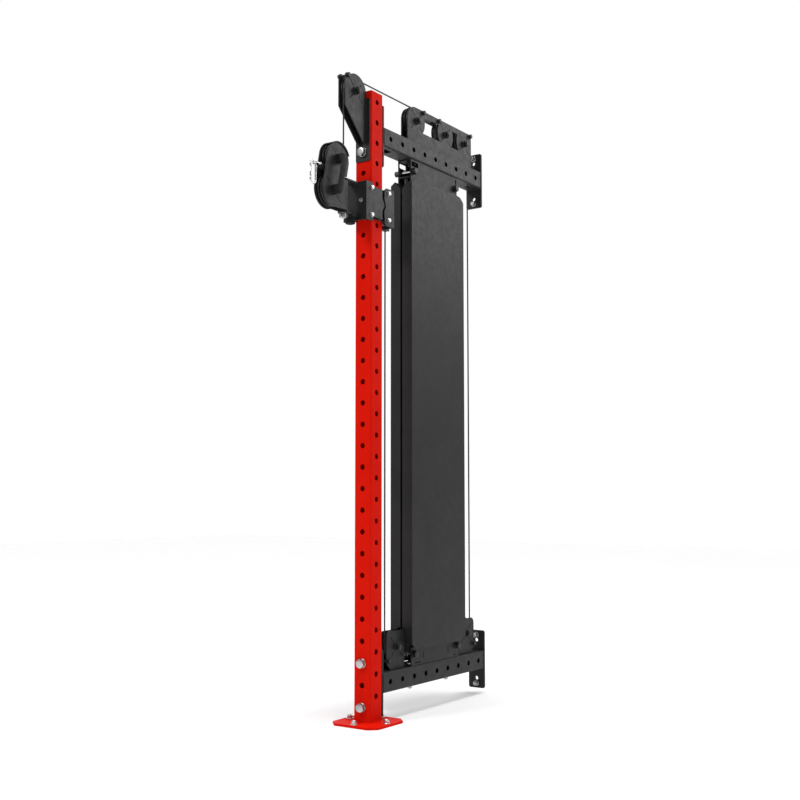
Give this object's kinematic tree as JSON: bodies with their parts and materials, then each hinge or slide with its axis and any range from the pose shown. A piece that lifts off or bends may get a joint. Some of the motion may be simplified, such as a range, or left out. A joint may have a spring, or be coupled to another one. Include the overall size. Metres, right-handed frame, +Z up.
{
  "type": "wall pulley weight stack",
  "caption": "Wall pulley weight stack: punched upright, beams to the wall, covered weight tower, cable over pulleys and a trolley with swivelling pulley head and hook.",
  "frame": {"origin": "centre of the upright's foot plate, on the floor", "axes": "+Z up, +Y towards the wall, -Y towards the user, +X to the user's right when facing the machine"},
  "size_m": [0.233, 1.1413, 2.424],
  "materials": {
    "red_coat": "satin powder coat",
    "black_coat": "fine-texture black powder coat",
    "zinc_bolts": "bright zinc",
    "black_bolts": "black oxide",
    "bright_rod": "hard chrome",
    "rubber": "matt",
    "pulley_nylon": "moulded nylon",
    "cable_jacket": "smooth jacket over steel rope",
    "polished_hook": "polished steel"
  },
  "bodies": {
    "frame": {"upright": "red_coat", "foot_plate": "red_coat", "foot_anchors": "zinc_bolts", "upper_beam": "black_coat", "lower_beam": "black_coat", "beam_end_plates": "black_coat", "frame_bolts": "zinc_bolts", "wall_bolts": "zinc_bolts", "top_front_bracket": "black_coat", "beam_pulley_bracket": "black_coat", "bottom_brackets": "black_coat", "bracket_hardware": "black_bolts", "cover_right": "black_coat", "cover_left": "black_coat", "hanger_bracket": "black_coat", "base_bracket": "black_coat", "cross_bolts": "black_bolts", "guide_rods": "bright_rod", "rod_bumpers": "rubber", "resting_plates": "black_coat", "cable_run": "cable_jacket"},
    "weight_lift": {"lifted_plates": "black_coat", "head_plate": "black_coat", "selector_rod": "bright_rod", "floating_yoke": "black_coat", "floating_axle": "black_bolts", "cable_lift": "cable_jacket", "cable_floating": "cable_jacket"},
    "selector_pin": {"selector_pin": "zinc_bolts"},
    "pulley_floating": {"pulley_floating": "pulley_nylon"},
    "pulley_top_front": {"pulley_top_front": "pulley_nylon"},
    "pulley_beam_front": {"pulley_beam_front": "pulley_nylon"},
    "pulley_beam_middle": {"pulley_beam_middle": "pulley_nylon"},
    "pulley_beam_rear": {"pulley_beam_rear": "pulley_nylon"},
    "pulley_bottom_rear": {"pulley_bottom_rear": "pulley_nylon"},
    "pulley_bottom_front": {"pulley_bottom_front": "pulley_nylon"},
    "trolley": {"trolley_front": "black_coat", "trolley_rear": "black_coat", "roller_axles": "zinc_bolts", "lock_housing": "black_coat", "pivot_bolt": "zinc_bolts", "cable_front": "cable_jacket", "cable_behind": "cable_jacket"},
    "roller_front_upper": {"roller_front_upper": "pulley_nylon"},
    "roller_front_lower": {"roller_front_lower": "pulley_nylon"},
    "roller_rear_upper": {"roller_rear_upper": "pulley_nylon"},
    "roller_rear_lower": {"roller_rear_lower": "pulley_nylon"},
    "lock_pin": {"lock_pin": "bright_rod"},
    "detent_plunger": {"detent_plunger": "rubber"},
    "swivel_head": {"yoke": "black_coat", "yoke_hood": "black_coat", "yoke_handle": "black_coat", "yoke_axles": "black_bolts", "cable_head": "cable_jacket"},
    "pulley_yoke_upper": {"pulley_yoke_upper": "pulley_nylon"},
    "pulley_yoke_lower": {"pulley_yoke_lower": "pulley_nylon"},
    "cable_end": {"cable_stop": "rubber", "shackle": "polished_hook"},
    "carabiner": {"carabiner": "polished_hook"},
    "carabiner_gate": {"carabiner_gate": "polished_hook"}
  },
  "joints": [
    {"name": "weight_lift_slide", "type": "slide", "parent": "frame", "child": "weight_lift", "axis": [0, 0, 1], "range_m": [0, 1.25], "deforming": ["cable_lift"]},
    {"name": "trolley_slide", "type": "slide", "parent": "frame", "child": "trolley", "axis": [0, 0, 1], "range_m": [-1.52, 0.08], "deforming": ["cable_front", "cable_behind"]},
    {"name": "selector_pin_pull", "type": "slide", "parent": "weight_lift", "child": "selector_pin", "axis": [-1, 0, 0], "range_m": [0, 0.115]},
    {"name": "floating_pulley_turn", "type": "hinge", "parent": "weight_lift", "child": "pulley_floating", "pos_m": [0, 0.4115, 0.8], "axis": [1, 0, 0], "continuous": true},
    {"name": "top_front_pulley_turn", "type": "hinge", "parent": "frame", "child": "pulley_top_front", "pos_m": [0, -0.108, 2.359], "axis": [1, 0, 0], "continuous": true},
    {"name": "beam_front_pulley_turn", "type": "hinge", "parent": "frame", "child": "pulley_beam_front", "pos_m": [0, 0.3035, 2.359], "axis": [1, 0, 0], "continuous": true},
    {"name": "beam_middle_pulley_turn", "type": "hinge", "parent": "frame", "child": "pulley_beam_middle", "pos_m": [0, 0.5195, 2.359], "axis": [1, 0, 0], "continuous": true},
    {"name": "beam_rear_pulley_turn", "type": "hinge", "parent": "frame", "child": "pulley_beam_rear", "pos_m": [0, 0.668, 2.359], "axis": [1, 0, 0], "continuous": true},
    {"name": "bottom_rear_pulley_turn", "type": "hinge", "parent": "frame", "child": "pulley_bottom_rear", "pos_m": [0, 0.668, 0.262], "axis": [1, 0, 0], "continuous": true},
    {"name": "bottom_front_pulley_turn", "type": "hinge", "parent": "frame", "child": "pulley_bottom_front", "pos_m": [0, 0.159, 0.262], "axis": [1, 0, 0], "continuous": true},
    {"name": "roller_front_upper_turn", "type": "hinge", "parent": "trolley", "child": "roller_front_upper", "pos_m": [0, -0.055, 1.9935], "axis": [1, 0, 0], "continuous": true},
    {"name": "roller_front_lower_turn", "type": "hinge", "parent": "trolley", "child": "roller_front_lower", "pos_m": [0, -0.055, 1.8885], "axis": [1, 0, 0], "continuous": true},
    {"name": "roller_rear_upper_turn", "type": "hinge", "parent": "trolley", "child": "roller_rear_upper", "pos_m": [0, 0.055, 1.9935], "axis": [1, 0, 0], "continuous": true},
    {"name": "roller_rear_lower_turn", "type": "hinge", "parent": "trolley", "child": "roller_rear_lower", "pos_m": [0, 0.055, 1.8885], "axis": [1, 0, 0], "continuous": true},
    {"name": "lock_pin_push", "type": "slide", "parent": "trolley", "child": "lock_pin", "axis": [1, 0, 0], "range_m": [0, 0.02]},
    {"name": "detent_pull", "type": "slide", "parent": "trolley", "child": "detent_plunger", "axis": [0, 0, -1], "range_m": [0, 0.008], "stiffness_N_per_m": 600, "springref_m": -0.004},
    {"name": "head_swivel", "type": "hinge", "parent": "trolley", "child": "swivel_head", "pos_m": [0, -0.162, 1.941], "axis": [0, 0, 1], "range_deg": [-90, 90]},
    {"name": "head_upper_pulley_turn", "type": "hinge", "parent": "swivel_head", "child": "pulley_yoke_upper", "pos_m": [0, -0.216, 2.0675], "axis": [1, 0, 0], "continuous": true},
    {"name": "head_lower_pulley_turn", "type": "hinge", "parent": "swivel_head", "child": "pulley_yoke_lower", "pos_m": [0, -0.243, 1.9465], "axis": [1, 0, 0], "continuous": true},
    {"name": "cable_pull", "type": "slide", "parent": "swivel_head", "child": "cable_end", "axis": [0, -0.9848, 0.1736], "range_m": [0, 2.5]},
    {"name": "hook_swing", "type": "hinge", "parent": "cable_end", "child": "carabiner", "pos_m": [0, -0.338, 2.0294], "axis": [1, 0, 0], "range_deg": [-80, 4]},
    {"name": "gate_open", "type": "hinge", "parent": "carabiner", "child": "carabiner_gate", "pos_m": [0, -0.352, 1.9754], "axis": [1, 0, 0], "range_deg": [-22, 0], "stiffness_Nm_per_rad": 0.2, "springref_deg": 17.19}
  ],
  "couplings": [
    {"joint": "floating_pulley_turn", "follows": "weight_lift_slide", "rad_per_m": -18.519},
    {"joint": "top_front_pulley_turn", "follows": "weight_lift_slide", "rad_per_m": 37.037},
    {"joint": "beam_front_pulley_turn", "follows": "weight_lift_slide", "rad_per_m": 37.037},
    {"joint": "beam_middle_pulley_turn", "follows": "trolley_slide", "rad_per_m": -18.519},
    {"joint": "beam_rear_pulley_turn", "follows": "trolley_slide", "rad_per_m": -18.519},
    {"joint": "bottom_rear_pulley_turn", "follows": "trolley_slide", "rad_per_m": -18.519},
    {"joint": "bottom_front_pulley_turn", "follows": "trolley_slide", "rad_per_m": -18.519},
    {"joint": "roller_front_upper_turn", "follows": "trolley_slide", "rad_per_m": -57.143},
    {"joint": "roller_front_lower_turn", "follows": "trolley_slide", "rad_per_m": -57.143},
    {"joint": "roller_rear_upper_turn", "follows": "trolley_slide", "rad_per_m": 57.143},
    {"joint": "roller_rear_lower_turn", "follows": "trolley_slide", "rad_per_m": 57.143},
    {"joint": "head_upper_pulley_turn", "follows": "weight_lift_slide", "rad_per_m": -37.037},
    {"joint": "cable_pull", "follows": "weight_lift_slide", "ratio": 2}
  ]
}
